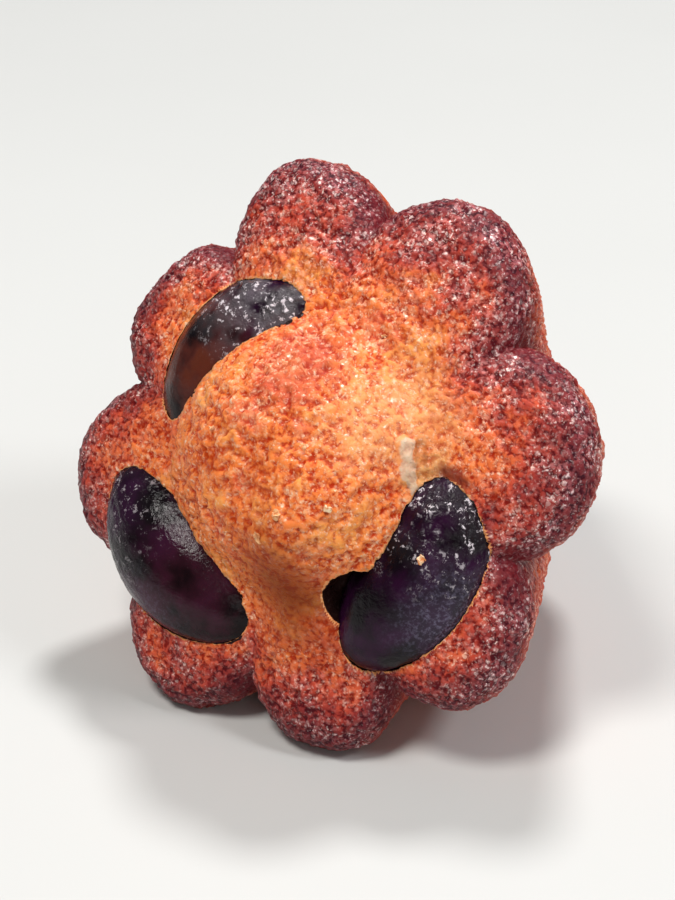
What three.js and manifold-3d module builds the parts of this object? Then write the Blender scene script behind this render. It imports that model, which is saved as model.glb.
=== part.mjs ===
// Small fluted almond cake lying on its side, with three cooked beans set in its risen face.
// Millimetres, +Z up. The face looks to -Y and a little up; the cake rests on two neighbouring lobes.
import * as THREE from 'three';
import { mergeVertices } from 'three/addons/utils/BufferGeometryUtils.js';
import Module from 'manifold-3d';

const wasm = await Module();
wasm.setup();
const { degToRad, smoothstep, lerp } = THREE.MathUtils;

// Outline of the rim. Lobes run anticlockwise as seen facing the cake, from its right.
// Each lobe has its turn in degrees and the distance of its end from the axis.
const LOBES = [
  { turn: 15, reach: 22 },
  { turn: 65, reach: 22.3 },
  { turn: 108.5, reach: 22.3 },
  { turn: 150, reach: 19.6 },
  { turn: 198, reach: 21.6 },
  { turn: 247, reach: 22.9 },
  { turn: 287.4, reach: 22.1 },
  { turn: 322, reach: 22.3 },
];
const MEAN_REACH = 22;
const GROOVE_DEPTH = 0.2;       // share of the reach lost at the bottom of a groove
const LOBE_ARC = 0.32;          // radius of a lobe's round end, as a share of its reach
const LOBE_HALF_ANGLE = 22.5;   // half the angle of an even lobe

// Body behind the rim
const TAPER = 26;               // lean of the lobe crests toward the axis
const SHOULDER_DEPTH = 19.5;    // depth at which the straight crests turn into the round crown
const SHOULDER_TURN = 20;       // angle on the crown's ellipse where the crests meet it
const GROOVE_FADE = [0.12, 0.62]; // share of the shoulder radius over which grooves grow from the crown

// Lip and risen face
const LIP_RADIUS = 3.2;
const FACE_SLOPE = 15;          // rise of the face just inside the lip
const FACE_FADE = 0.3;          // share of the radius inside which the face shows no lobes
const BUMP = { x: 0.3, y: -0.2, radius: 11.4, height: 5.2, fullness: 1.9 };
const NOSE = { x: 6, y: -4.4, radius: 6.4, height: 1.3, fullness: 1.4 }; // edge of the bump over a bean
const RIDGE = { turn: 288, start: 3, end: 17, halfWidth: 5.5, height: 1.2 };

// Beans: place and turn on the face, and how far the middle of each sits over the rim plane
const BEAN = { length: 17, width: 9.6, thickness: 7.4, bend: 1.3 };
const BEANS = [
  { name: 'bean_upper_left', x: -6.6, y: 5.7, lift: 4.2, turn: 53 },
  { name: 'bean_lower_right', x: 10.5, y: -5.9, lift: 4.2, turn: -106 },
  { name: 'bean_lower_left', x: -8.3, y: -9.9, lift: 4.2, turn: 147 },
];
const BEAN_SEGMENTS = [20, 14];
const GAP = 0.3;                // between a bean and its pocket
const SHRINK = { x: 7.9, y: -9.0, z: 7, radius: 2.5 }; // hollow where the crumb drew back from a bean
const SHRINK_SEGMENTS = [16, 12];

// Rest on the floor
const SETTLE = 0.25;            // flattened by its own weight where it lies

// Mesh steps
const STEPS_PER_LOBE = 12;
const CROWN_STEPS = 9;
const CREST_STEPS = 8;
const LIP_STEPS = 6;
const FACE_STEPS = 13;
const WELD = 1e-4;              // points nearer than this are joined

const taperSlope = Math.tan(degToRad(TAPER));
const lipStart = -degToRad(TAPER);
const lipEnd = degToRad(90 - FACE_SLOPE);
const lobeCount = LOBES.length;

// Turn of a lobe by its number, counted on past a full turn in both directions.
function lobeTurn(index) {
  const rounds = Math.floor(index / lobeCount);
  return LOBES[index - rounds * lobeCount].turn + 360 * rounds;
}

function lobeReach(index) {
  return LOBES[(index + lobeCount) % lobeCount].reach;
}

// Radius of an even lobe's round end at an angle from its middle, as a share of its reach.
function lobeArc(angle) {
  const middle = 1 - LOBE_ARC;
  return middle * Math.cos(angle) + Math.sqrt(LOBE_ARC ** 2 - (middle * Math.sin(angle)) ** 2);
}

// How deep in its groove the outline lies, 0 on a crest and 1 at the bottom.
// The place across a lobe runs from -1 to 1.
function grooveShare(across) {
  const half = degToRad(LOBE_HALF_ANGLE);
  return (1 - lobeArc(across * half)) / (1 - lobeArc(half));
}

// Turn, reach and groove share at a place counted in lobes around the rim.
function outlineAt(place) {
  const index = Math.round(place);
  const across = 2 * (place - index);
  const neighbour = index + (across < 0 ? -1 : 1);
  const apart = Math.abs(across);
  const valleyTurn = (lobeTurn(index) + lobeTurn(neighbour)) / 2;
  const valleyReach = (lobeReach(index) + lobeReach(neighbour)) / 2;
  return {
    turn: degToRad(lerp(lobeTurn(index), valleyTurn, apart)),
    reach: lerp(lobeReach(index), valleyReach, smoothstep(apart, 0, 1)),
    groove: grooveShare(across),
  };
}

// Height of a round swelling at a place on the face.
function swelling(form, x, y) {
  const far = Math.min(Math.hypot(x - form.x, y - form.y) / form.radius, 1);
  return form.height * (1 + Math.cos(Math.PI * far ** form.fullness)) / 2;
}

// Height of the bump, its nose and the ridge that runs from it, over the plain face.
function reliefAt(x, y) {
  const turn = degToRad(RIDGE.turn);
  const along = x * Math.cos(turn) + y * Math.sin(turn);
  const aside = Math.min(Math.abs(y * Math.cos(turn) - x * Math.sin(turn)) / RIDGE.halfWidth, 1);
  const middle = (RIDGE.start + RIDGE.end) / 2;
  const reach = Math.min(Math.abs(along - middle) / (RIDGE.end - RIDGE.start), 0.5) * 2;
  const ridge = RIDGE.height * (1 + Math.cos(Math.PI * aside)) / 2 * (1 - reach ** 2) ** 2;
  return swelling(BUMP, x, y) + swelling(NOSE, x, y) + ridge;
}

// Half-section from the crown over the rim to the middle of the face.
// Each station gives the radius and height as functions of the outline.
const shoulderRadius = MEAN_REACH - LIP_RADIUS * (1 - Math.cos(lipStart)) - SHOULDER_DEPTH * taperSlope;
const crownRadius = shoulderRadius / Math.cos(degToRad(SHOULDER_TURN));
const crownHeight = crownRadius * Math.tan(degToRad(SHOULDER_TURN)) / taperSlope;
const crownMiddle = -SHOULDER_DEPTH + crownHeight * Math.sin(degToRad(SHOULDER_TURN));

function crownStation(step) {
  const angle = lerp(Math.PI / 2, degToRad(SHOULDER_TURN), step / CROWN_STEPS);
  const radius = crownRadius * Math.cos(angle);
  return {
    share: radius / MEAN_REACH,
    inset: 0,
    fade: smoothstep(radius / shoulderRadius, ...GROOVE_FADE),
    height: crownMiddle - crownHeight * Math.sin(angle),
  };
}

function crestStation(step) {
  const height = -SHOULDER_DEPTH * (1 - step / CREST_STEPS);
  const radius = shoulderRadius + (SHOULDER_DEPTH + height) * taperSlope;
  return { share: radius / MEAN_REACH, inset: 0, fade: 1, height };
}

function lipStation(step) {
  const angle = lerp(lipStart, lipEnd, step / LIP_STEPS);
  return {
    share: 1,
    inset: LIP_RADIUS * (1 - Math.cos(angle)),
    fade: 1,
    height: LIP_RADIUS * (Math.sin(angle) - Math.sin(lipStart)),
  };
}

const faceEdge = lipStation(LIP_STEPS);
const faceRise = Math.tan(degToRad(FACE_SLOPE)) * (MEAN_REACH - faceEdge.inset) / 2;

function faceStation(step) {
  const share = 1 - step / FACE_STEPS;
  return {
    share,
    inset: faceEdge.inset * share,
    fade: smoothstep(share, FACE_FADE, 1),
    height: faceEdge.height + faceRise * (1 - share ** 2),
    face: true,
  };
}

const stations = [];
for (let step = 0; step <= CROWN_STEPS; step += 1) stations.push(crownStation(step));
for (let step = 1; step < CREST_STEPS; step += 1) stations.push(crestStation(step));
for (let step = 0; step <= LIP_STEPS; step += 1) stations.push(lipStation(step));
for (let step = 1; step <= FACE_STEPS; step += 1) stations.push(faceStation(step));

// A surface point in the cake's own frame: x right, y up and z outward as seen facing it.
function surfacePoint(station, place) {
  const { turn, reach, groove } = outlineAt(place);
  const uneven = lerp(MEAN_REACH, reach * (1 - GROOVE_DEPTH * groove), station.fade);
  const radius = station.share * uneven - station.inset;
  const x = Math.max(radius, 0) * Math.cos(turn);
  const y = Math.max(radius, 0) * Math.sin(turn);
  const relief = station.face ? reliefAt(x, y) : 0;
  return new THREE.Vector3(x, y, station.height + relief);
}

// A closed solid from a three.js geometry whose doubled points are joined.
function toSolid(geometry) {
  geometry.deleteAttribute('normal');
  geometry.deleteAttribute('uv');
  const merged = mergeVertices(geometry, WELD);
  const corners = [];
  for (let i = 0; i < merged.index.count; i += 3) {
    const [a, b, c] = [0, 1, 2].map((k) => merged.index.getX(i + k));
    if (a !== b && b !== c && c !== a) corners.push(a, b, c);
  }
  return new wasm.Manifold(new wasm.Mesh({
    numProp: 3,
    vertProperties: new Float32Array(merged.attributes.position.array),
    triVerts: new Uint32Array(corners),
  }));
}

// The plain turned half-section, then every point moved to its place on the fluted surface.
function cakeBody() {
  const segments = STEPS_PER_LOBE * lobeCount;
  const section = stations.map(({ share, inset, height }) => (
    new THREE.Vector2(Math.max(share * MEAN_REACH - inset, 0), height)
  ));
  const geometry = new THREE.LatheGeometry(section, segments);
  const position = geometry.attributes.position;
  for (let i = 0; i < position.count; i += 1) {
    const column = Math.floor(i / stations.length) % segments;
    const point = surfacePoint(stations[i % stations.length], column / STEPS_PER_LOBE);
    position.setXYZ(i, point.x, point.y, point.z);
  }
  return toSolid(geometry);
}

// A kidney-shaped bean, grown all round by the given amount; its hollow side faces the middle of the face.
function beanBody(bean, grow) {
  const geometry = new THREE.SphereGeometry(1, ...BEAN_SEGMENTS);
  geometry.rotateZ(Math.PI / 2);
  const position = geometry.attributes.position;
  for (let i = 0; i < position.count; i += 1) {
    const along = position.getX(i);
    const hollow = BEAN.bend * (0.5 - along ** 2);
    position.setXYZ(
      i,
      along * (BEAN.length / 2 + grow),
      position.getY(i) * (BEAN.width / 2 + grow) + hollow,
      position.getZ(i) * (BEAN.thickness / 2 + grow),
    );
  }
  const place = new THREE.Matrix4().makeRotationZ(degToRad(bean.turn));
  place.setPosition(bean.x, bean.y, bean.lift);
  geometry.applyMatrix4(place);
  return toSolid(geometry);
}

// The hollow beside the lower right bean.
function shrinkBody() {
  const geometry = new THREE.SphereGeometry(SHRINK.radius, ...SHRINK_SEGMENTS);
  geometry.translate(SHRINK.x, SHRINK.y, SHRINK.z);
  return toSolid(geometry);
}

// Lean that lays the two lowest lobes flat: their crests meet the axis in one point far behind the crown.
const lowest = Math.max(...LOBES.map((lobe) => -lobe.reach * Math.sin(degToRad(lobe.turn))));
const lean = Math.atan2(lowest * taperSlope, MEAN_REACH);
const upward = [0, Math.cos(lean), Math.sin(lean)];

// Height of a solid's lowest point once the cake is laid down.
function lowestHeight(solid) {
  const points = solid.getMesh().vertProperties;
  let low = Infinity;
  for (let i = 0; i < points.length; i += 3) {
    low = Math.min(low, points[i + 1] * upward[1] + points[i + 2] * upward[2]);
  }
  return low;
}

function toGeometry(solid) {
  const mesh = solid.getMesh();
  const geometry = new THREE.BufferGeometry();
  geometry.setAttribute('position', new THREE.BufferAttribute(new Float32Array(mesh.vertProperties), 3));
  geometry.setIndex(new THREE.BufferAttribute(new Uint32Array(mesh.triVerts), 1));
  geometry.computeVertexNormals();
  return geometry;
}

let cake = cakeBody();
for (const bean of BEANS) cake = cake.subtract(beanBody(bean, GAP));
cake = cake.subtract(shrinkBody());
cake = cake.trimByPlane(upward, lowestHeight(cake) + SETTLE);

const laid = new THREE.Group();
laid.rotation.x = Math.PI / 2 - lean;

function addPiece(name, solid, looks) {
  const mesh = new THREE.Mesh(toGeometry(solid), new THREE.MeshStandardMaterial(looks));
  mesh.name = name;
  laid.add(mesh);
}

addPiece('cake', cake, { color: 0xb86138, roughness: 0.62, metalness: 0 });
for (const bean of BEANS) {
  addPiece(bean.name, beanBody(bean, 0), { color: 0x2a161c, roughness: 0.3, metalness: 0 });
}

// The origin is the middle of the base, on the floor.
const part = new THREE.Group();
part.add(laid);
const box = new THREE.Box3().setFromObject(part, true);
laid.position.set(-(box.min.x + box.max.x) / 2, -(box.min.y + box.max.y) / 2, -box.min.z);

export default part;
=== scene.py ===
import math

import bmesh
import bpy
import numpy as np
from mathutils import Matrix, Vector, noise
from mathutils.bvhtree import BVHTree


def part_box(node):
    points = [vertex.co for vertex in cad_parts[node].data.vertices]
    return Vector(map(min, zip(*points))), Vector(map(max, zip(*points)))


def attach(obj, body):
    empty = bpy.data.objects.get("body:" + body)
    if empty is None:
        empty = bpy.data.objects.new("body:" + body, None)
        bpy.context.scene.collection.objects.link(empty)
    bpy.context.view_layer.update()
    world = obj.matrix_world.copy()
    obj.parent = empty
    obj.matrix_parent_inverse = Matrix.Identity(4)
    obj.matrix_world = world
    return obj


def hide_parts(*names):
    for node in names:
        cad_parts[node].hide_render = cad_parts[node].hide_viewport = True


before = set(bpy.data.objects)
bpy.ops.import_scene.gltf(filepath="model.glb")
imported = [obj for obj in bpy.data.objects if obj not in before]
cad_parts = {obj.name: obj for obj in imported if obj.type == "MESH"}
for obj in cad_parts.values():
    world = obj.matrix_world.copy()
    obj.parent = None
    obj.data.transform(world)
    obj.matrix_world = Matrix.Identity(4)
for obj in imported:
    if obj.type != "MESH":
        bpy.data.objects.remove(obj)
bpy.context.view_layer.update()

MM = 0.001

# Rim of the cake, in millimetres. Lobes run anticlockwise as seen facing it, from its right:
# the turn of each in degrees, and the distance of its end from the axis.
LOBES = [
    (15.0, 22.0),
    (65.0, 22.3),
    (108.5, 22.3),
    (150.0, 19.6),
    (198.0, 21.6),
    (247.0, 22.9),
    (287.4, 22.1),
    (322.0, 22.3),
]
MEAN_REACH = 22.0
GROOVE_DEPTH = 0.2
LOBE_ARC = 0.32
LOBE_HALF_ANGLE = math.radians(22.5)

# Body behind the rim
TAPER = math.radians(26)
SHOULDER_DEPTH = 19.5
SHOULDER_TURN = math.radians(20)
GROOVE_FADE = (0.12, 0.62)

# Lip and risen face
LIP_RADIUS = 3.2
FACE_SLOPE = math.radians(15)
FACE_FADE = 0.3
BUMP_MIDDLE = (0.3, -0.2)
BUMP_RADIUS = 11.4
BUMP_HEIGHT = 5.2
BUMP_FULLNESS = 1.9
NOSE_MIDDLE = (6.0, -4.4)
NOSE_RADIUS = 6.4
NOSE_HEIGHT = 1.3
NOSE_FULLNESS = 1.4
RIDGE_TURN = math.radians(288)
RIDGE_SPAN = (3.0, 17.0)
RIDGE_HALF_WIDTH = 5.5
RIDGE_HEIGHT = 1.2

# Beans: place on the face, height over the rim plane and turn; then the end that has dried and how much,
# which also places painted glints, how much grey film shows there, partly a painted reflection, how far the
# skin is brown, partly a painted reflection, and how much painted sheen lies on its outer side
BEAN_LENGTH = 17.0
BEAN_WIDTH = 9.6
BEAN_THICKNESS = 7.4
BEAN_BEND = 1.3
BEAN_LEVELS = 6
BEANS = {
    "bean_upper_left": {
        "x": -6.6, "y": 5.7, "lift": 4.2, "turn": math.radians(53),
        "dry_end": 1, "dry": 1.0, "silver": 1.0, "brown": 1.0, "bloom": 0.0,
    },
    "bean_lower_right": {
        "x": 10.5, "y": -5.9, "lift": 4.2, "turn": math.radians(-106),
        "dry_end": -1, "dry": 0.55, "silver": 0.2, "brown": 0.0, "bloom": 1.0,
    },
    "bean_lower_left": {
        "x": -8.3, "y": -9.9, "lift": 4.2, "turn": math.radians(147),
        "dry_end": 1, "dry": 0.2, "silver": 0.2, "brown": 0.2, "bloom": 0.4,
    },
}

# Skin of the beans: slow swells, creases that deepen where it has dried, and a fine grain
SWELL_HEIGHT = 0.12
SWELL_RATE = 2.2
CREASE_HEIGHT = 0.03
DRIED_CREASE_HEIGHT = 0.17
CREASE_RATE = 7
GRAIN_HEIGHT = 0.02
GRAIN_RATE = 22

# Room around a bean, and the hollow where the crumb drew back from the lower right one
POCKET_GAP = 0.06
POCKET_LEVELS = 4
SHRINK_MIDDLE = (7.9, -9.0, 7.0)
SHRINK_RADIUS = 2.5

# Marks on the face: a red flush and burnt crevices on the bump, partly painted shade, a tan hollow beside it,
# and the pale tear, tan patches and a brown rim at the top of the lower right bean, partly a painted shadow
# of its pocket
FLUSH = {"middle": (0.6, 6.7), "radius": 4.8}
BURNT_SHADED_CREVICES = {"middle": (-1.6, -3.2), "radius": 6.5}
TAN_HOLLOW = {"middle": (8.0, 4.6), "radius": 5.5}
TEAR_START = (9.3, 3.1)
TEAR_END = (10.6, -0.3)
TEAR_HALF_WIDTH = 0.45
TEAR_BOW = 0.15
FURROW_SHIFT = 0.85
TEAR_PATCHES = [{"middle": (11.2, 1.9), "radius": 1.5}, {"middle": (10.9, 0.6), "radius": 1.6}]
BROWN_SHADED_RIM = {"middle": (12.7, 2.2), "radius": 2.6}
BROWN_SHADED_RIM_WIDTH = 0.9

# Loose crumbs: place on the face and size across. They are dropped on the face from above it.
CRUMB_DROP_HEIGHT = 40.0
CRUMBS = [
    (3.3, -3.6, 0.85),
    (1.9, -5.7, 0.8),
    (3.8, 1.5, 0.5),
    (-4.0, 0.9, 0.45),
    (6.6, -2.2, 0.4),
    (5.0, 10.0, 0.5),
    (12.6, -4.5, 0.6),
]

# Bands of the round starting shape, from the middle of the face to the crown
FACE_SWING = math.radians(70)
LIP_SWING = math.radians(87)
SHOULDER_SWING = math.radians(133)
CUBE_STEPS = 122

# Worked out from the sizes above
TAPER_SLOPE = math.tan(TAPER)
LIP_START = -TAPER
LIP_END = math.pi / 2 - FACE_SLOPE
LIP_END_INSET = LIP_RADIUS * (1 - math.cos(LIP_END))
FACE_RISE = math.tan(FACE_SLOPE) * (MEAN_REACH - LIP_END_INSET) / 2
SHOULDER_RADIUS = MEAN_REACH - LIP_RADIUS * (1 - math.cos(LIP_START)) - SHOULDER_DEPTH * TAPER_SLOPE
CROWN_HEIGHT = SHOULDER_RADIUS / math.cos(SHOULDER_TURN) * math.tan(SHOULDER_TURN) / TAPER_SLOPE
LOWEST = max(-reach * math.sin(math.radians(turn)) for turn, reach in LOBES)
LEAN = math.atan2(LOWEST * TAPER_SLOPE, MEAN_REACH)
LAY_DOWN = Matrix.Scale(MM, 4) @ Matrix.Rotation(math.pi / 2 - LEAN, 4, "X")

# View and light
VIEW_TURN = math.radians(31)
VIEW_RISE = math.radians(28.3)
VIEW_DISTANCE = 0.2
VIEW_LENS = 104
VIEW_SLIDE = (-0.003, -0.0025)
LIGHT_DISTANCE = 0.5
FILL_DISTANCE = 0.6
FLOOR_HALF = 3.0


class Flow:
    """A socket of a node tree. Arithmetic on it adds Math nodes, and add() makes any other node."""

    def __init__(self, tree, socket=None):
        self.tree = tree
        self.socket = socket

    def add(self, kind, settings=None, inputs=None):
        """Makes a node: first its settings, then its sockets' values or links. Gives its first output."""
        node = self.tree.nodes.new(kind)
        for name, value in (settings or {}).items():
            if name == "stops":
                fill_ramp(node.color_ramp, value)
            else:
                setattr(node, name, value)
        for name, value in (inputs or {}).items():
            if isinstance(value, Flow):
                self.tree.links.new(value.socket, node.inputs[name])
            else:
                node.inputs[name].default_value = value
        live = [socket for socket in node.outputs if socket.enabled]
        return Flow(self.tree, live[0])

    def out(self, name):
        return Flow(self.tree, self.socket.node.outputs[name])

    def math(self, operation, *values):
        return self.add("ShaderNodeMath", {"operation": operation}, dict(enumerate(values)))

    def __add__(self, other):
        return self.math("ADD", self, other)

    def __radd__(self, other):
        return self.math("ADD", other, self)

    def __sub__(self, other):
        return self.math("SUBTRACT", self, other)

    def __rsub__(self, other):
        return self.math("SUBTRACT", other, self)

    def __mul__(self, other):
        return self.math("MULTIPLY", self, other)

    def __truediv__(self, other):
        return self.math("DIVIDE", self, other)

    def __rtruediv__(self, other):
        return self.math("DIVIDE", other, self)

    def __pow__(self, other):
        return self.math("POWER", self, other)

    def sin(self):
        return self.math("SINE", self)

    def cos(self):
        return self.math("COSINE", self)

    def root(self):
        return self.math("SQRT", self)

    def size(self):
        return self.math("ABSOLUTE", self)

    def least(self, other):
        return self.math("MINIMUM", self, other)

    def most(self, other):
        return self.math("MAXIMUM", self, other)

    def below(self, other):
        return self.math("LESS_THAN", self, other)

    def ramp(self, start, end, low=0.0, high=1.0, smooth=False):
        """This value carried from start..end to low..high and held there beyond the ends."""
        kind = "SMOOTHSTEP" if smooth else "LINEAR"
        sockets = {"Value": self, "From Min": start, "From Max": end, "To Min": low, "To Max": high}
        return self.add("ShaderNodeMapRange", {"interpolation_type": kind}, sockets)

    def smooth(self, start, end):
        return self.ramp(start, end, smooth=True)

    def parts(self):
        """The three parts of a vector. The split node's first output is X."""
        split = self.add("ShaderNodeSeparateXYZ", None, {0: self})
        return split, split.out("Y"), split.out("Z")

    def vector(self, x, y, z):
        return self.add("ShaderNodeCombineXYZ", None, {"X": x, "Y": y, "Z": z})

    def vector_math(self, operation, *values):
        return self.add("ShaderNodeVectorMath", {"operation": operation}, dict(enumerate(values)))

    def scaled(self, factor):
        return self.add("ShaderNodeVectorMath", {"operation": "SCALE"}, {0: self, "Scale": factor})

    def noise(self, place, scale, detail=2.0, roughness=0.5, distortion=0.0):
        return self.add("ShaderNodeTexNoise", None, {
            "Vector": place,
            "Scale": scale,
            "Detail": detail,
            "Roughness": roughness,
            "Distortion": distortion,
        })

    def cells(self, place, scale):
        return self.add("ShaderNodeTexVoronoi", None, {"Vector": place, "Scale": scale})

    def blend(self, share, first, second):
        """Mixes two colours, each a socket or four numbers. Sockets 6 and 7 are the node's two colours."""
        return self.add("ShaderNodeMix", {"data_type": "RGBA"}, {0: share, 6: first, 7: second})


def fill_ramp(ramp, stops):
    """Sets the places and colours of a colour ramp."""
    while len(ramp.elements) < len(stops):
        ramp.elements.new(0.5)
    for element, (position, colour) in zip(ramp.elements, stops):
        element.position = position
        element.color = colour


def colour(red, green, blue):
    """A colour given as it looks on screen, 0 to 255, turned into the renderer's linear values."""
    def linear(value):
        share = value / 255
        return share / 12.92 if share <= 0.04045 else ((share + 0.055) / 1.055) ** 2.4
    return (linear(red), linear(green), linear(blue), 1.0)


def geometry_tree(name, sizes, takes_mesh=False):
    """A node tree with one named number for each size. Gives the tree and its Group Input."""
    tree = bpy.data.node_groups.new(name, "GeometryNodeTree")
    tree.interface.new_socket("Mesh", in_out="OUTPUT", socket_type="NodeSocketGeometry")
    if takes_mesh:
        tree.interface.new_socket("Mesh", in_out="INPUT", socket_type="NodeSocketGeometry")
    for label, value in sizes.items():
        kind = "NodeSocketInt" if isinstance(value, int) else "NodeSocketFloat"
        socket = tree.interface.new_socket(label, in_out="INPUT", socket_type=kind)
        socket.default_value = value
    return tree, Flow(tree).add("NodeGroupInput")


def end_tree(mesh, material):
    """Ends a tree: realized, smooth, with its material."""
    real = mesh.add("GeometryNodeRealizeInstances", None, {"Geometry": mesh})
    soft = real.add("GeometryNodeSetShadeSmooth", None, {"Geometry": real})
    dressed = soft.add("GeometryNodeSetMaterial", None, {"Geometry": soft, "Material": material})
    output = mesh.tree.nodes.new("NodeGroupOutput")
    mesh.tree.links.new(dressed.socket, output.inputs[0])


def grow(name, tree, sizes, start=None):
    """Runs a tree on an object and gives its result as a plain mesh."""
    mesh = start or bpy.data.meshes.new(name)
    maker = bpy.data.objects.new(name + "_maker", mesh)
    bpy.context.scene.collection.objects.link(maker)
    modifier = maker.modifiers.new("shape", "NODES")
    modifier.node_group = tree
    for item in tree.interface.items_tree:
        if item.in_out == "INPUT" and item.name in sizes:
            modifier[item.identifier] = sizes[item.name]
    ready = maker.evaluated_get(bpy.context.evaluated_depsgraph_get())
    plain = bpy.data.meshes.new_from_object(ready)
    maker.modifiers.remove(modifier)
    bpy.data.objects.remove(maker)
    plain.name = name
    return plain


def store(mesh, name, value, kind="FLOAT"):
    """Writes a value at every point of a mesh, for later trees and materials to read."""
    sockets = {"Geometry": mesh, "Name": name, "Value": value}
    return mesh.add("GeometryNodeStoreNamedAttribute", {"data_type": kind, "domain": "POINT"}, sockets)


def stored(given, name, kind="FLOAT"):
    """Reads what store() wrote."""
    return given.add("GeometryNodeInputNamedAttribute", {"data_type": kind}, {"Name": name})


def crumb_pattern(flow, place):
    """Tops of the crumb, 0 in the gaps and 1 on the tops. Relief and colour share it."""
    return flow.noise(place, 2.3, 1.0, 0.5, 0.4).ramp(0.34, 0.68)


def glinting_grains(flow, place, scale):
    """Small ragged grains, 1 on the brightest and 0 between them, for painted glints of uneven brightness and
    for bumps.
    """
    wobble = flow.vector_math("SUBTRACT", flow.noise(place, 3.0, 1.0).out("Color"), (0.5, 0.5, 0.5))
    cell = flow.cells(flow.vector_math("ADD", place, wobble.scaled(0.5)), scale)
    chance, _, _ = cell.out("Color").parts()
    return cell.smooth(0.4, 0.14) * chance.smooth(0.1, 0.65)


def spot_on_face(face, middle, radius):
    """1 in the middle of a round spot on the face, fading to 0 at its radius."""
    x, y, _ = face.parts()
    ragged = (face.noise(face, 0.8, 2.0) - 0.5) * radius * 0.8
    away = ((x - middle[0]) ** 2 + (y - middle[1]) ** 2).root() + ragged
    return away.smooth(radius, radius * 0.3)


def tear_on_face(face, shift=0.0):
    """1 along the pale tear, or along a line shifted to its right, fading to 0 at its sides."""
    x, y, _ = face.parts()
    start = (TEAR_START[0] + shift, TEAR_START[1])
    run = (TEAR_END[0] - TEAR_START[0], TEAR_END[1] - TEAR_START[1])
    ahead = (x - start[0]) * run[0] + (y - start[1]) * run[1]
    share = ahead.ramp(0.0, run[0] ** 2 + run[1] ** 2)
    bow = (share * math.pi).sin() * TEAR_BOW
    aside = ((x - start[0] - share * run[0] + bow) ** 2 + (y - start[1] - share * run[1]) ** 2).root()
    away = aside + (face.noise(face, 0.9, 2.0) - 0.5) * TEAR_HALF_WIDTH * 1.8
    half_width = (1.2 - share * 0.5) * TEAR_HALF_WIDTH
    return (away / half_width).smooth(1.0, 0.7)


def clump_pattern(flow, place):
    """Broader clumps of the risen face, 0 in the crevices and 1 on the clumps."""
    return flow.noise(place, 1.15, 2.0, 0.5, 0.5).ramp(0.36, 0.6)


def coarse_share(travel):
    """How far the clumps show: fully on the risen face, in part on the flutes, and not on the lobes' ends."""
    return (1 - travel.smooth(0.5, 0.9)).most(travel.smooth(1.6, 2.3) * 0.75)


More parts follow.
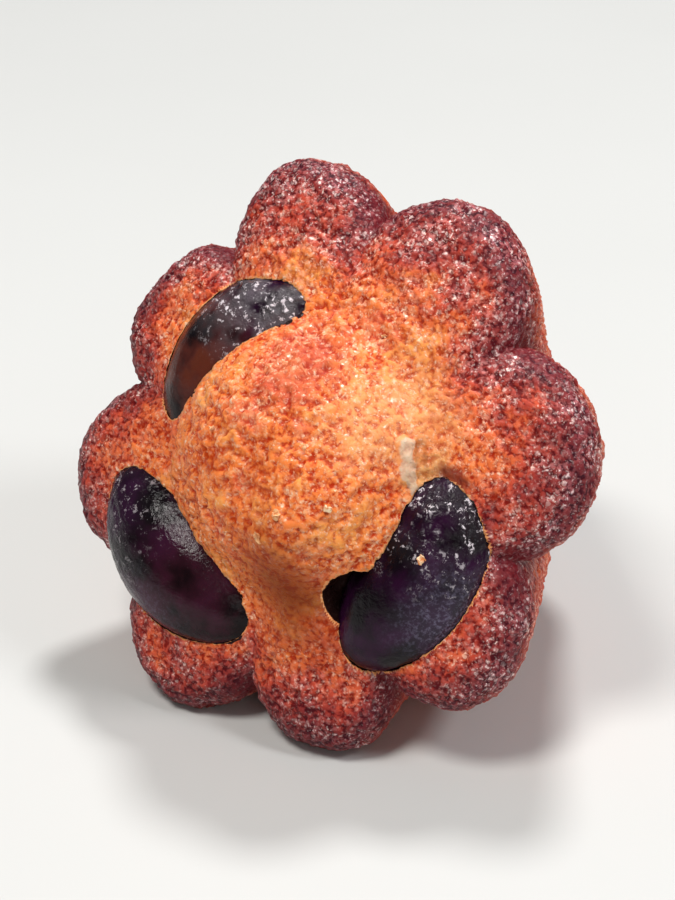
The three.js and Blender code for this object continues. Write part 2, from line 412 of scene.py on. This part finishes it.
# The fluted cake
def cake_rule(material):
    """The lobed body as a rule: a round net of points, each moved to its place on the fluted surface."""
    sizes = {
        "Mean reach": MEAN_REACH,
        "Groove depth": GROOVE_DEPTH,
        "Lip radius": LIP_RADIUS,
        "Face rise": FACE_RISE,
        "Bump height": BUMP_HEIGHT,
        "Bump radius": BUMP_RADIUS,
        "Nose height": NOSE_HEIGHT,
        "Ridge height": RIDGE_HEIGHT,
        "Shoulder depth": SHOULDER_DEPTH,
        "Crown height": CROWN_HEIGHT,
        "Steps": CUBE_STEPS,
    }
    tree, given = geometry_tree("fluted_cake", sizes)
    steps = given.out("Steps")
    corners = {"Size": (2.0, 2.0, 2.0), "Vertices X": steps, "Vertices Y": steps, "Vertices Z": steps}
    net = given.add("GeometryNodeMeshCube", None, corners)

    # Direction of each point from the middle, spread evenly over the sphere
    spots = given.add("GeometryNodeInputPosition").parts()
    bent = [(spot * (math.pi / 4)).math("TANGENT", spot * (math.pi / 4)) for spot in spots]
    ray = given.vector_math("NORMALIZE", given.vector(*bent))
    right, up, outward = ray.parts()
    swing = given.math("ARCCOSINE", outward)
    turn = given.math("ARCTAN2", up, right)

    # Place along the half-section
    face_share = ((swing / 2).sin() / math.sin(FACE_SWING / 2)).least(1.0)
    lip_turn = swing.ramp(FACE_SWING, LIP_SWING, LIP_END, LIP_START)
    crest_run = swing.ramp(LIP_SWING, SHOULDER_SWING)
    crown_half = math.sin((math.pi - SHOULDER_SWING) / 2)
    crown_share = (((math.pi - swing) / 2).sin() / crown_half).least(1.0)

    # Place around the rim, counted in lobes, and the reach there
    first_turn = math.radians(LOBES[0][0])
    around = given.math("FLOORED_MODULO", turn - first_turn, 2 * math.pi)
    lobe_place = None
    reach = given.math("ADD", LOBES[0][1], 0.0)
    for index, (lobe_turn, lobe_reach) in enumerate(LOBES):
        next_turn, next_reach = LOBES[(index + 1) % len(LOBES)]
        start = math.radians(lobe_turn) - first_turn
        gap = math.radians((next_turn - lobe_turn) % 360)
        for half in (0, 1):
            low = start + half * gap / 2
            high = low + gap / 2
            share = around.ramp(low, high)
            lobe_place = share if lobe_place is None else lobe_place + share
            reach = reach + around.smooth(low, high) * ((next_reach - lobe_reach) / 2)
    apart = given.math("PINGPONG", lobe_place, 1.0)

    # Round ends of the lobes with a groove between each two
    middle = 1 - LOBE_ARC
    angle = apart * LOBE_HALF_ANGLE
    arc = angle.cos() * middle + (LOBE_ARC ** 2 - (angle.sin() * middle) ** 2).root()
    deepest = middle * math.cos(LOBE_HALF_ANGLE)
    deepest += math.sqrt(LOBE_ARC ** 2 - (middle * math.sin(LOBE_HALF_ANGLE)) ** 2)
    groove = (1 - arc) / (1 - deepest)
    fade = face_share.smooth(FACE_FADE, 1.0) * crown_share.smooth(*GROOVE_FADE)
    mean = given.out("Mean reach")
    uneven = mean + (reach * (1 - given.out("Groove depth") * groove) - mean) * fade

    # Radius and height
    lip = given.out("Lip radius")
    inset = lip * (1 - lip_turn.cos())
    shrink = (1 - crest_run * given.out("Shoulder depth") * TAPER_SLOPE / mean) * crown_share
    radius = face_share * shrink * (uneven - inset)
    crown_drop = (1 - (crown_share * math.cos(SHOULDER_TURN)) ** 2).root() - math.sin(SHOULDER_TURN)
    height = lip * (lip_turn.sin() - math.sin(LIP_START))
    height = height + given.out("Face rise") * (1 - face_share ** 2)
    height = height - crest_run * given.out("Shoulder depth") - crown_drop * given.out("Crown height")
    x = radius * turn.cos()
    y = radius * turn.sin()

    # Bump and ridge of the risen face
    def swelling(middle, radius, height, fullness):
        away = ((x - middle[0]) ** 2 + (y - middle[1]) ** 2).root()
        far = (away / radius).least(1.0)
        return height * (1 + (far ** fullness * math.pi).cos()) / 2

    bump = swelling(BUMP_MIDDLE, given.out("Bump radius"), given.out("Bump height"), BUMP_FULLNESS)
    nose = swelling(NOSE_MIDDLE, NOSE_RADIUS, given.out("Nose height"), NOSE_FULLNESS)
    along = x * math.cos(RIDGE_TURN) + y * math.sin(RIDGE_TURN)
    aside = ((y * math.cos(RIDGE_TURN) - x * math.sin(RIDGE_TURN)).size() / RIDGE_HALF_WIDTH).least(1.0)
    ridge_middle = (RIDGE_SPAN[0] + RIDGE_SPAN[1]) / 2
    ridge_half = (RIDGE_SPAN[1] - RIDGE_SPAN[0]) / 2
    ridge_end = ((along - ridge_middle).size() / ridge_half).least(1.0)
    calm = (1 + (aside * math.pi).cos()) / 2 * (1 - ridge_end ** 2) ** 2
    height = height + (bump + nose + given.out("Ridge height") * calm) * swing.below(FACE_SWING)

    # Laid down on its side
    behind = y * math.sin(LEAN) - height * math.cos(LEAN)
    above = y * math.cos(LEAN) + height * math.sin(LEAN)
    spot = given.vector(x, behind, above).scaled(MM)
    travel = face_share + swing.ramp(FACE_SWING, LIP_SWING) + crest_run + swing.ramp(SHOULDER_SWING, math.pi)
    marked = store(store(net, "travel", travel), "groove", groove * fade)
    marked = store(store(marked, "calm", calm * swing.below(FACE_SWING)), "outer", 1.0)
    marked = store(marked, "face_place", given.vector(x, y, height), "FLOAT_VECTOR")
    shaped = given.add("GeometryNodeSetPosition", None, {"Geometry": marked, "Position": spot})
    joined = given.add("GeometryNodeMergeByDistance", None, {"Geometry": shaped, "Distance": 1e-6})
    end_tree(joined, material)
    return grow("cake", tree, sizes)


def crumb_relief(cake, cutters, material):
    """Pockets for the beans, then lumps, clumps, crumb and pits of the crust and its tear, as real relief."""
    sizes = {
        "Lump height": 0.5,
        "Lump size": 6.0,
        "Crag height": 0.8,
        "Crag size": 2.2,
        "Crumb height": 0.2,
        "Clump height": 0.28,
        "Pit depth": 0.4,
        "Pit size": 1.7,
        "Tear height": 0.3,
        "Furrow depth": 0.3,
        "Edge width": 1.2,
        "Edge share": 0.4,
    }
    tree, given = geometry_tree("open_crumb", sizes, takes_mesh=True)
    carved = given.out("Mesh")
    pocket_distance = given.math("ADD", 1.0, 0.0)
    for cutter in cutters:
        cut = given.add("GeometryNodeObjectInfo", {"transform_space": "ORIGINAL"}, {"Object": cutter})
        carved = given.add(
            "GeometryNodeMeshBoolean",
            {"operation": "DIFFERENCE", "solver": "MANIFOLD"},
            {"Mesh 1": carved, "Mesh 2": cut.out("Geometry")},
        )
        away = given.add("GeometryNodeProximity", None, {0: cut.out("Geometry")}).out("Distance")
        pocket_distance = pocket_distance.least(away)
    place = given.add("GeometryNodeInputPosition").scaled(1 / MM)
    marked = store(carved, "crumb_place", place, "FLOAT_VECTOR")
    marked = store(marked, "pocket_away", pocket_distance / MM)
    outward = given.add("GeometryNodeInputNormal")
    at_edge = pocket_distance.ramp(0.0, given.out("Edge width") * MM, given.out("Edge share"), 1.0)
    face = stored(given, "face_place", "FLOAT_VECTOR")
    front = stored(given, "travel").below(1.0) * stored(given, "outer")
    rough = (1 - stored(given, "calm") * 0.7) * (1 - spot_on_face(face, **TAN_HOLLOW) * front * 0.6)
    lumps = given.noise(place, 1 / given.out("Lump size"), 2.0) - 0.5
    crags = given.noise(place, 1 / given.out("Crag size"), 2.0) - 0.5
    crumb = crumb_pattern(given, place) - 0.5
    pits = given.cells(place, 1 / given.out("Pit size")).smooth(0.3, 0.08)
    sparse = given.noise(place, 0.45, 1.0).smooth(0.42, 0.62)
    fine = crags * given.out("Crag height") + crumb * given.out("Crumb height")
    clumps = (clump_pattern(given, place) - 0.5) * coarse_share(stored(given, "travel"))
    fine = fine - pits * sparse * given.out("Pit depth") + clumps * given.out("Clump height")
    tear = tear_on_face(face) * given.out("Tear height")
    furrow = tear_on_face(face, FURROW_SHIFT) * given.out("Furrow depth")
    height = lumps * given.out("Lump height") + fine * rough + (tear - furrow) * front
    offset = outward.scaled(height * at_edge * MM)
    uneven = given.add("GeometryNodeSetPosition", None, {"Geometry": marked, "Offset": offset})
    end_tree(on_floor(uneven), material)
    return grow("cake", tree, sizes, cake)


def loose_crumbs(points, material):
    """A ragged crumb at each point, half sunk in what it lies on. Each point holds its crumb's size."""
    sizes = {"Raggedness": 0.9 * MM}
    tree, given = geometry_tree("loose_crumbs", sizes, takes_mesh=True)
    dots = given.add("GeometryNodeMeshToPoints", None, {"Mesh": given.out("Mesh")})
    ball = given.add("GeometryNodeMeshIcoSphere", None, {"Radius": 0.5 * MM, "Subdivisions": 4})
    draw = {"data_type": "FLOAT_VECTOR"}
    any_turn = {0: (0.0, 0.0, 0.0), 1: (6.28, 6.28, 6.28), "Seed": 3}
    spin = given.add("FunctionNodeRandomValue", draw, any_turn)
    longish = {0: (0.9, 0.5, 0.5), 1: (1.5, 1.0, 1.0), "Seed": 5}
    stretch = given.add("FunctionNodeRandomValue", draw, longish)
    grains = given.add("GeometryNodeInstanceOnPoints", None, {
        "Points": dots,
        "Instance": ball,
        "Rotation": spin,
        "Scale": stretch.scaled(stored(given, "size_across")),
    })
    real = given.add("GeometryNodeRealizeInstances", None, {"Geometry": grains})
    place = given.add("GeometryNodeInputPosition").scaled(1 / MM)
    marked = store(real, "crumb_place", place, "FLOAT_VECTOR")
    ragged = given.vector_math("SUBTRACT", given.noise(place, 2.5, 2.0).out("Color"), (0.5, 0.5, 0.5))
    offset = ragged.scaled(given.out("Raggedness"))
    uneven = given.add("GeometryNodeSetPosition", None, {"Geometry": marked, "Offset": offset})
    end_tree(uneven, material)
    return grow("crumbs", tree, sizes, points)


def crumb_points(meshes, seat):
    """A point on the outermost of the meshes for each loose crumb."""
    trees = []
    for mesh in meshes:
        corners = [vert.co for vert in mesh.vertices]
        trees.append(BVHTree.FromPolygons(corners, [face.vertices for face in mesh.polygons]))
    laid = seat @ LAY_DOWN
    inward = laid.to_3x3() @ Vector((0, 0, -1))
    spots = []
    for x, y, _ in CRUMBS:
        start = laid @ Vector((x, y, CRUMB_DROP_HEIGHT))
        hits = [tree.ray_cast(start, inward) for tree in trees]
        nearest = min((hit for hit in hits if hit[0]), key=lambda hit: hit[3])
        spots.append(nearest[0])
    points = bpy.data.meshes.new("crumb_points")
    points.from_pydata(spots, [], [])
    across = points.attributes.new("size_across", "FLOAT", "POINT")
    across.data.foreach_set("value", [size for _, _, size in CRUMBS])
    return points


def on_floor(mesh):
    """Keeps every point at or above the floor."""
    x, y, z = mesh.add("GeometryNodeInputPosition").parts()
    rested = mesh.vector(x, y, z.most(0.0))
    return mesh.add("GeometryNodeSetPosition", None, {"Geometry": mesh, "Position": rested})


# Beans
def share_past(value, start, run):
    """0 up to the start, 1 from the end of the run, and even between them."""
    return min(max((value - start) / run, 0.0), 1.0)


def bean_skin_relief(spot, shift, dry):
    """Height of the skin over a plain bean at a spot of the unit ball."""
    swell = SWELL_HEIGHT * noise.noise(spot * SWELL_RATE + shift)
    creases = 1 - abs(noise.noise(spot * CREASE_RATE + shift))
    crease_height = CREASE_HEIGHT + DRIED_CREASE_HEIGHT * dry
    grain = GRAIN_HEIGHT * noise.noise(spot * GRAIN_RATE + shift)
    return swell + crease_height * (creases ** 3 - 0.5) + grain


def bean_mesh(name, bean, grow_by=0.0, levels=BEAN_LEVELS):
    """A kidney-shaped bean in the cake's frame, its hollow side toward the middle of the face.

    Grown for its pocket, it has a plain skin."""
    shape = bmesh.new()
    bmesh.ops.create_icosphere(shape, subdivisions=levels, radius=1.0)
    seat = Matrix.Translation((bean["x"], bean["y"], bean["lift"])) @ Matrix.Rotation(bean["turn"], 4, "Z")
    shift = Vector((bean["x"], bean["y"], 0))
    # Shares over the skin: where it dried, its grey film and its brown, both partly painted reflection, and
    # the painted sheen
    marks = {"dry": [], "silver": [], "brown": [], "bloom": []}
    for vert in shape.verts:
        spot = vert.co.copy()
        along, across, over = spot
        to_dry_end = along * bean["dry_end"]
        dry_share = share_past(to_dry_end, -0.15, 0.6)
        tip_share = share_past(to_dry_end, 0.55, 0.35)
        far_share = share_past(-to_dry_end, 0.3, 0.4)
        dry = min(bean["dry"] * (dry_share + tip_share * 0.6), 1.0)
        marks["dry"].append(dry)
        marks["silver"].append(bean["silver"] * dry)
        marks["brown"].append(bean["brown"] * (1 - dry_share))
        marks["bloom"].append(bean["bloom"] * (1 - dry_share - far_share) * share_past(across, 0.1, 0.7))
        skin_height = grow_by or bean_skin_relief(spot, shift, dry)
        vert.co = seat @ Vector((
            along * (BEAN_LENGTH / 2 + skin_height),
            across * (BEAN_WIDTH / 2 + skin_height) + BEAN_BEND * (0.5 - along ** 2),
            over * (BEAN_THICKNESS / 2 + skin_height),
        ))
    mesh = bpy.data.meshes.new(name)
    shape.to_mesh(mesh)
    shape.free()
    mesh.transform(LAY_DOWN)
    mesh.shade_smooth()
    for label, values in marks.items():
        mesh.attributes.new(label, "FLOAT", "POINT").data.foreach_set("value", values)
    return mesh


def hollow_mesh():
    """The hollow beside the lower right bean."""
    shape = bmesh.new()
    bmesh.ops.create_icosphere(shape, subdivisions=POCKET_LEVELS, radius=SHRINK_RADIUS)
    bmesh.ops.translate(shape, verts=shape.verts, vec=SHRINK_MIDDLE)
    mesh = bpy.data.meshes.new("hollow")
    shape.to_mesh(mesh)
    shape.free()
    mesh.transform(LAY_DOWN)
    return mesh


# Materials
def surface(name):
    """A new material with its Principled shader. Gives both and a Flow to build on."""
    made = bpy.data.materials.new(name)
    made.use_nodes = True
    shader = made.node_tree.nodes["Principled BSDF"]
    return made, shader, Flow(made.node_tree)


def link(flow, shader, socket):
    """Joins a value to a socket of the shader, by the socket's name."""
    flow.tree.links.new(flow.socket, shader.inputs[socket])


def attribute(base, name, part="Fac"):
    """Reads a value that the mesh holds at its points."""
    return base.add("ShaderNodeAttribute", {"attribute_name": name}).out(part)


def baked_crust():
    """Golden risen face, dusky lobe ends and brick-red flutes; darker gaps in the crumb, partly painted
    shade, a pale veil, partly painted sheen, and painted glints on its small tops.
    """
    made, shader, base = surface("baked_crust")
    place = attribute(base, "crumb_place", "Vector")
    face = attribute(base, "face_place", "Vector")
    travel = attribute(base, "travel")
    groove = attribute(base, "groove")
    calm = attribute(base, "calm")
    outer = attribute(base, "outer")
    broad = base.noise(place, 0.16, 2.0)
    patches = base.noise(place, 0.5, 3.0)
    specks = base.noise(place, 1.6, 2.0, 0.6)
    fine = base.noise(place, 4.5, 2.0, 0.6)
    crumb = crumb_pattern(base, place)
    coarse = coarse_share(travel)
    clumps = clump_pattern(base, place)
    relief = crumb * (0.75 - coarse * 0.35) + clumps * coarse * 0.35 + fine.ramp(0.3, 0.7) * 0.25
    _, _, above_floor = place.parts()
    # Small grains: painted glints where they show, and part of the bump
    grains = glinting_grains(base, place, 1.9)
    for scale in (2.7, 3.8):
        grains = grains.most(glinting_grains(base, place, scale))
    # A fine pale veil: partly pale crumb, partly a painted sheen
    veil = base.noise(place, 2.4, 3.0, 0.6, 0.3).smooth(0.45, 0.66)
    # How much painted sparkle and sheen shows: in patches, and thinner lower down where less light falls, a
    # painted shade
    sparkle_patches = base.noise(place, 0.4, 2.0).smooth(0.4, 0.6)
    painted_sparkle_share = (0.3 + sparkle_patches * 0.7) * above_floor.ramp(4.0, 30.0, 0.55, 1.0)
    front = 1 - travel.smooth(1.0, 1.3)

    # Browning from the pale risen middle to the dusky lip, then redder down the flutes
    wander = travel + (broad - 0.5) * 0.6 + (patches - 0.5) * 0.6
    dusk = wander.smooth(0.75, 1.4) * (1 - travel.smooth(1.6, 2.2))
    flush = spot_on_face(face, **FLUSH) * front
    browning = wander.smooth(0.45, 1.1) * 0.5 + dusk * 0.42 + flush * 0.22 + (specks - 0.5) * 0.25

    def tones(*stops):
        """A tone for each degree of browning, from the pale middle to the dusky ends."""
        places = (0.0, 0.2, 0.45, 0.65, 0.85, 1.0)
        ramp = [(spot, colour(*stop)) for spot, stop in zip(places, stops)]
        return base.add("ShaderNodeValToRGB", {"stops": ramp}, {"Fac": browning})

    # Gaps of the crumb darker and redder: partly its own colour, partly painted shade in the hollows
    gaps = tones((190, 48, 0), (172, 38, 2), (126, 18, 8), (96, 6, 14), (70, 4, 18), (50, 3, 24))
    ground = tones((250, 136, 66), (236, 114, 60), (200, 76, 54), (160, 54, 46), (130, 46, 47), (104, 34, 45))
    # Colours of the veil: pale rosy crumb, partly a painted sheen
    blush = tones(
        (255, 182, 130), (253, 166, 122), (241, 144, 124),
        (228, 138, 130), (208, 124, 122), (182, 104, 114),
    )
    # Painted glints on the small tops of the crumb
    tops = tones(
        (255, 208, 170), (255, 206, 170), (255, 208, 186),
        (255, 222, 212), (254, 226, 220), (250, 220, 222),
    )
    on_face = 1 - browning.smooth(0.1, 0.4)
    lit_top = (grains * painted_sparkle_share.most(on_face * 0.65) * (0.42 + veil * 0.9) * (1 - calm * 0.8)).least(1.0)
    tone = base.blend(relief.smooth(0.18, 0.72), gaps, ground)
    gold = base.noise(place, 0.28, 2.0).smooth(0.5, 0.68) * on_face
    rose = base.noise(place, 0.36, 2.0).smooth(0.56, 0.7) * on_face
    tone = base.blend(gold * (0.15 + relief * 0.65), tone, colour(252, 172, 88))
    tone = base.blend(rose * (0.2 + relief * 0.4), tone, colour(238, 110, 86))
    hollow = spot_on_face(face, **TAN_HOLLOW) * front
    tone = base.blend(hollow * (0.1 + relief * 0.6), tone, colour(240, 172, 116))
    tone = base.blend(flush * (0.3 + relief * 0.4), tone, colour(188, 66, 54))
    tone = base.blend(veil * painted_sparkle_share * (0.76 - calm * 0.56), tone, blush)
    tone = base.blend(lit_top, tone, tops)

    # Outside of the flutes: brick red and saffron, dark red in the crumb's gaps (partly painted shade), a
    # salmon veil (partly painted sheen) and painted glints
    flute_ground = base.blend(patches.smooth(0.42, 0.62), colour(198, 70, 46), colour(222, 98, 44))
    flute_tone = base.blend(relief.smooth(0.15, 0.65), colour(134, 22, 10), flute_ground)
    flute_tone = base.blend(veil * (0.4 + sparkle_patches * 0.5), flute_tone, colour(242, 146, 116))
    flute_tone = base.blend(grains * (0.4 + sparkle_patches * 0.4), flute_tone, colour(255, 200, 172))
    tone = base.blend((travel + (patches - 0.5) * 0.8).smooth(1.5, 2.5), tone, flute_tone)

    # Marks of the risen face
    # Burnt orange in the crevices at the bump's lower left, partly painted shade
    burnt_shaded_crevices = spot_on_face(face, **BURNT_SHADED_CREVICES) * front * patches.smooth(0.42, 0.62)
    tone = base.blend(burnt_shaded_crevices * (1 - relief) * 0.9, tone, colour(186, 64, 12))
    # The smooth ridge below the bump in dark brown: partly browner crust, partly painted shade
    tone = base.blend(calm * front * 0.88, tone, colour(130, 46, 5))
    torn = spot_on_face(face, **TEAR_PATCHES[0]).most(spot_on_face(face, **TEAR_PATCHES[1]))
    tone = base.blend(torn * front * (0.25 + relief * 0.5), tone, colour(222, 178, 112))
    # A brown rim by the pocket at the lower right bean's tip: partly browned crust, partly a painted shadow
    # of the pocket
    by_pocket = attribute(base, "pocket_away").smooth(BROWN_SHADED_RIM_WIDTH, BROWN_SHADED_RIM_WIDTH * 0.4)
    rim = spot_on_face(face, **BROWN_SHADED_RIM) * front * by_pocket
    tone = base.blend(rim * 0.9, tone, colour(112, 36, 22))
    furrow = tear_on_face(face, FURROW_SHIFT) * front * (0.6 - relief * 0.5)
    tone = base.blend(furrow, tone, colour(158, 100, 48))
    tear = tear_on_face(face) * front * (0.5 + relief * 0.4)
    tone = base.blend(tear, tone, colour(214, 194, 168))

    # Deep red grooves between the flutes, pale edges of the pockets, and painted shade on the pockets'
    # insides
    in_groove = groove.smooth(0.3, 0.95) * travel.smooth(0.9, 1.6) * (0.85 - veil * 0.4)
    tone = base.blend(in_groove, tone, colour(108, 20, 30))
    edge = outer.smooth(0.1, 0.35) * (1 - outer.smooth(0.7, 0.98))
    tone = base.blend(edge * 0.7, tone, colour(246, 180, 120))
    tone = base.blend(1 - outer.smooth(0.02, 0.2), tone, colour(34, 14, 12))
    link(tone, shader, "Base Color")
    link(0.46 - lit_top * 0.3 + fine * 0.06, shader, "Roughness")
    link(lit_top * 0.9, shader, "Coat Weight")

    height = crumb * 0.5 + fine * 0.3 + grains * 0.3
    bump = base.add("ShaderNodeBump", None, {"Strength": 0.6, "Distance": 0.15 * MM, "Height": height})
    link(bump, shader, "Normal")
    shader.inputs["Coat Roughness"].default_value = 0.22
    shader.inputs["Specular IOR Level"].default_value = 0.13
    shader.inputs["Subsurface Weight"].default_value = 0.08
    shader.inputs["Subsurface Radius"].default_value = (1.0, 0.35, 0.12)
    shader.inputs["Subsurface Scale"].default_value = 0.8 * MM
    return made


def pale_crumb():
    """Loose crumbs, creamy to golden."""
    made, shader, base = surface("pale_crumb")
    place = attribute(base, "crumb_place", "Vector")
    mixed = base.noise(place, 0.4, 1.0).smooth(0.4, 0.6)
    fine = base.noise(place, 4.0, 2.0)
    cream = base.blend(mixed, colour(242, 190, 136), colour(252, 220, 178))
    link(base.blend(fine.smooth(0.35, 0.6), colour(216, 132, 70), cream), shader, "Base Color")
    link(0.3 + fine * 0.2, shader, "Roughness")
    return made


def bean_skin():
    """Dark purple-black cooked skin, brown in part, partly a painted reflection, and a painted sheen on its
    outer side; where it dried, a grey film, partly a painted reflection, with painted white glints.
    """
    made, shader, base = surface("bean_skin")
    place = base.add("ShaderNodeTexCoord").out("Object").scaled(1 / MM)
    dry = attribute(base, "dry")
    cloud = base.noise(place, 0.3, 3.0)
    fine = base.noise(place, 5.0, 3.0, 0.6)
    wrinkles = base.noise(place, 1.6, 3.0, 0.6, 1.0)
    dried = base.noise(place, 0.5, 2.0).smooth(0.32, 0.54)
    film = dried * dry
    # Painted white glints, where the skin dried
    painted_glints = base.noise(place, 1.6, 4.0, 0.75, 0.3).smooth(0.56, 0.64)
    speckle = base.noise(place, 3.0, 3.0, 0.7).smooth(0.45, 0.7)
    skin = base.blend(cloud.smooth(0.35, 0.7), colour(10, 3, 8), colour(46, 11, 44))
    # Brown in places: partly the skin's own tint, partly a painted reflection
    skin = base.blend(attribute(base, "brown") * cloud.smooth(0.3, 0.6), skin, colour(92, 42, 28))
    # Painted bluish sheen on the outer side
    with_painted_sheen = base.blend(attribute(base, "bloom") * (0.12 + speckle * 0.6), skin, colour(116, 110, 134))
    # Grey film where the skin dried, partly a painted reflection
    filmed = base.blend(dried * attribute(base, "silver") * 0.5, with_painted_sheen, colour(116, 110, 114))
    with_painted_glints = base.blend((film * 1.6).least(0.95) * painted_glints, filmed, colour(232, 222, 228))
    link(with_painted_glints, shader, "Base Color")
    link(0.07 + fine * 0.12 + painted_glints * 0.1, shader, "Roughness")
    height = wrinkles * (0.12 + film * 1.2) + fine * 0.15
    bump = base.add("ShaderNodeBump", None, {"Strength": 0.7, "Distance": 0.3 * MM, "Height": height})
    link(bump, shader, "Normal")
    shader.inputs["Specular IOR Level"].default_value = 0.17
    return made


def pale_floor():
    """A pale matt floor, faintly uneven in tone."""
    made, shader, base = surface("pale_floor")
    place = base.add("ShaderNodeTexCoord").out("Object")
    cloud = base.noise(place, 14.0, 3.0)
    link(base.blend(cloud, colour(202, 203, 201), colour(210, 211, 209)), shader, "Base Color")
    shader.inputs["Roughness"].default_value = 0.8
    return made


def show(name, mesh, material):
    """Puts a mesh into the scene, with a material if it has none yet."""
    piece = bpy.data.objects.new(name, mesh)
    bpy.context.scene.collection.objects.link(piece)
    if not mesh.materials:
        mesh.materials.append(material)
    return piece


def mesh_box(mesh):
    """The lowest and highest corner of a mesh."""
    points = np.empty(len(mesh.vertices) * 3, dtype=np.float32)
    mesh.vertices.foreach_get("co", points)
    points = points.reshape(-1, 3)
    return points.min(0), points.max(0)


# The pieces
crust = baked_crust()
crumb = pale_crumb()
skin = bean_skin()
plain_cake = cake_rule(crust)
low, high = mesh_box(plain_cake)
cad_low, cad_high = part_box("cake")
seat = Matrix.Translation((
    (cad_low[0] + cad_high[0] - low[0] - high[0]) / 2,
    (cad_low[1] + cad_high[1] - low[1] - high[1]) / 2,
    cad_high[2] - high[2],
))
plain_cake.transform(seat)

cutters = []
pockets = [bean_mesh("pocket", bean, POCKET_GAP, POCKET_LEVELS) for bean in BEANS.values()]
for shape in pockets + [hollow_mesh()]:
    shape.transform(seat)
    cutters.append(show("cutter", shape, crust))
cake_mesh = crumb_relief(plain_cake, cutters, crust)
for cutter in cutters:
    bpy.data.objects.remove(cutter)
cake = show("cake_crumb", cake_mesh, crust)
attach(cake, "root")
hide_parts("cake")

beans = []
for bean_name, bean in BEANS.items():
    mesh = bean_mesh(bean_name, bean)
    mesh.transform(seat)
    beans.append(mesh)
    piece = show("cooked_" + bean_name, mesh, skin)
    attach(piece, "root")
    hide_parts(bean_name)

crumbs = show("loose_crumbs", loose_crumbs(crumb_points([cake_mesh] + beans, seat), crumb), crumb)
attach(crumbs, "root")
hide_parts("cake")


# Floor, light and camera
def lay_floor():
    mesh = bpy.data.meshes.new("floor")
    signs = [(-1, -1), (1, -1), (1, 1), (-1, 1)]
    mesh.from_pydata([(x * FLOOR_HALF, y * FLOOR_HALF, 0) for x, y in signs], [], [(0, 1, 2, 3)])
    floor = show("floor", mesh, pale_floor())


def area_light(name, turn, rise, distance, size, power, tint):
    """A soft round light that looks at the cake from a turn off the camera's and a rise, in degrees."""
    lamp = bpy.data.lights.new(name, "AREA")
    lamp.shape = "DISK"
    lamp.size = size
    lamp.energy = power
    lamp.color = tint
    holder = bpy.data.objects.new(name, lamp)
    bpy.context.scene.collection.objects.link(holder)
    away = direction(VIEW_TURN + math.radians(turn), math.radians(rise))
    holder.location = MIDDLE + away * distance
    holder.rotation_mode = "QUATERNION"
    holder.rotation_quaternion = away.to_track_quat("Z", "Y")


def direction(turn, rise):
    return Vector((
        math.sin(turn) * math.cos(rise),
        -math.cos(turn) * math.cos(rise),
        math.sin(rise),
    ))


MIDDLE = (Vector(cad_low) + Vector(cad_high)) / 2
lay_floor()
area_light("key", -40, 62, LIGHT_DISTANCE, size=0.14, power=1.53, tint=(1.0, 0.97, 0.93))
area_light("top", 160, 64, LIGHT_DISTANCE, size=0.1, power=1.7, tint=(1.0, 0.99, 0.98))
area_light("side", 58, 46, LIGHT_DISTANCE, size=0.12, power=0.9, tint=(0.97, 0.98, 1.0))
area_light("fill", 10, 26, FILL_DISTANCE, size=0.25, power=0.25, tint=(1.0, 0.98, 0.96))
world = bpy.data.worlds.new("studio")
world.use_nodes = True
sky = world.node_tree.nodes["Background"]
sky.inputs["Color"].default_value = (0.93, 0.95, 1.0, 1.0)
sky.inputs["Strength"].default_value = 0.15
bpy.context.scene.world = world

bpy.context.scene.view_settings.view_transform = "Standard"

lens = bpy.data.cameras.new("camera")
lens.lens = VIEW_LENS
lens.sensor_width = 36
lens.clip_start = 0.01
camera = bpy.data.objects.new("camera", lens)
bpy.context.scene.collection.objects.link(camera)
toward = direction(VIEW_TURN, VIEW_RISE)
camera.location = MIDDLE + toward * VIEW_DISTANCE
camera.rotation_mode = "QUATERNION"
camera.rotation_quaternion = toward.to_track_quat("Z", "Y")
camera.location += camera.rotation_quaternion @ Vector((*VIEW_SLIDE, 0.0))
bpy.context.scene.camera = camera
